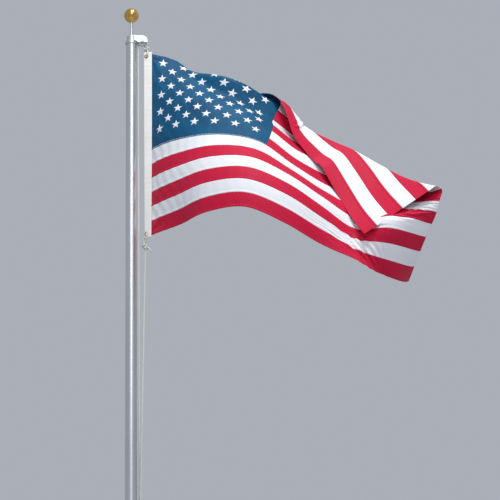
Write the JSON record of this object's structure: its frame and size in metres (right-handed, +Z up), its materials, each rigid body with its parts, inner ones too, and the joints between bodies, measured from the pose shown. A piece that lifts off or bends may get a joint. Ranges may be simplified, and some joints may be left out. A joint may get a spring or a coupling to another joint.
{
  "type": "flagpole",
  "caption": "Tapered aluminium flagpole on a bolted shoe base, with a truck, a sheave, a halyard, a cleat, a ball finial and a sewn striped flag.",
  "frame": {"origin": "centre of the shoe base's underside, on the pole's axis, at ground level", "axes": "+Z up along the pole, +X towards the arm of the truck and the flag, -Y towards the viewer"},
  "size_m": [1.5066, 0.4828, 6.282],
  "materials": {
    "pole": "satin brushed",
    "casting": "as cast, lightly polished",
    "steel": "stainless",
    "sheave": "moulded nylon",
    "gilt": "polished gold anodised",
    "rope": "braided polyester",
    "heading": "canvas",
    "brass": "worn brass",
    "blue_cloth": "nylon",
    "red_cloth": "nylon",
    "white_cloth": "nylon"
  },
  "bodies": {
    "pole": {"pole_tube": "pole", "shoe_base": "casting", "shoe_screws": "steel", "truck": "casting", "truck_screws": "steel", "sheave_pin": "steel", "finial_spindle": "steel", "finial_neck": "casting", "finial_ball": "gilt", "cleat": "casting", "cleat_screws": "steel", "halyard_over_sheave": "rope", "halyard_haul_line": "rope", "halyard_belay": "rope", "halyard_flag_line": "rope", "upper_loop": "rope", "lower_loop": "rope", "upper_knot": "rope", "lower_knot": "rope", "flag_heading": "heading", "upper_grommet": "brass", "lower_grommet": "brass", "flag_canton": "blue_cloth", "flag_stripe_01": "red_cloth", "flag_stripe_02": "white_cloth", "flag_stripe_03": "red_cloth", "flag_stripe_04": "white_cloth", "flag_stripe_05": "red_cloth", "flag_stripe_06": "white_cloth", "flag_stripe_07": "red_cloth", "flag_stripe_08": "white_cloth", "flag_stripe_09": "red_cloth", "flag_stripe_10": "white_cloth", "flag_stripe_11": "red_cloth", "flag_stripe_12": "white_cloth", "flag_stripe_13": "red_cloth"},
    "sheave": {"sheave": "sheave"}
  },
  "joints": [
    {"name": "sheave_spin", "type": "hinge", "parent": "pole", "child": "sheave", "pos_m": [0.0511, 0, 6.11], "axis": [0, 1, 0], "continuous": true}
  ]
}
